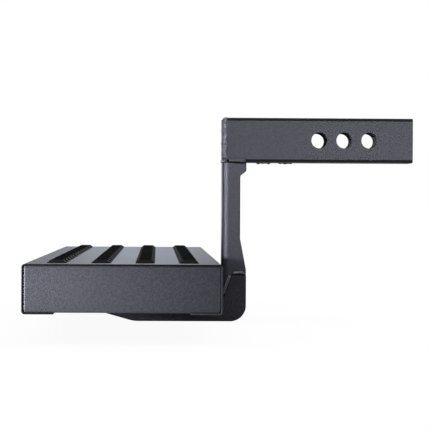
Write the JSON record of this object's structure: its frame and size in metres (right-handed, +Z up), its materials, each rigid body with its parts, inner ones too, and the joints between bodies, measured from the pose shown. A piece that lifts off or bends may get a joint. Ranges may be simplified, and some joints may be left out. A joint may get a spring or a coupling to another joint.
{
  "type": "hitch receiver step",
  "caption": "Step for a towing receiver: square shank with cross pin holes, welded drop channel and tapered arm, carrying a wide folded tread with rubber grip strips.",
  "frame": {"origin": "centre of the middle pin hole, on the axis of the shank", "axes": "+X along the shank towards the vehicle, +Y along the tread towards the vehicle's left, +Z up"},
  "size_m": [0.4179, 0.9144, 0.232],
  "materials": {
    "coated_steel": "black powder coat with a fine texture",
    "tread_rubber": "matte black moulded rubber"
  },
  "bodies": {
    "root": {"receiver_shank": "coated_steel", "shank_end_cap": "coated_steel", "cap_weld": "coated_steel", "seam_weld": "coated_steel", "drop_channel": "coated_steel", "shank_weld_left": "coated_steel", "shank_weld_right": "coated_steel", "stitch_weld_front": "coated_steel", "stitch_weld_rear": "coated_steel", "arm_plate_left": "coated_steel", "arm_plate_right": "coated_steel", "arm_web": "coated_steel", "arm_top_weld_left": "coated_steel", "arm_top_weld_right": "coated_steel", "arm_edge_weld_left": "coated_steel", "arm_edge_weld_right": "coated_steel", "step_channel": "coated_steel", "deck_weld_front_left": "coated_steel", "deck_weld_front_right": "coated_steel", "deck_weld_rear_left": "coated_steel", "deck_weld_rear_right": "coated_steel", "end_cap_left": "coated_steel", "end_cap_right": "coated_steel", "tread_strip_1": "tread_rubber", "tread_strip_2": "tread_rubber", "tread_strip_3": "tread_rubber", "tread_strip_4": "tread_rubber"}
  },
  "joints": []
}
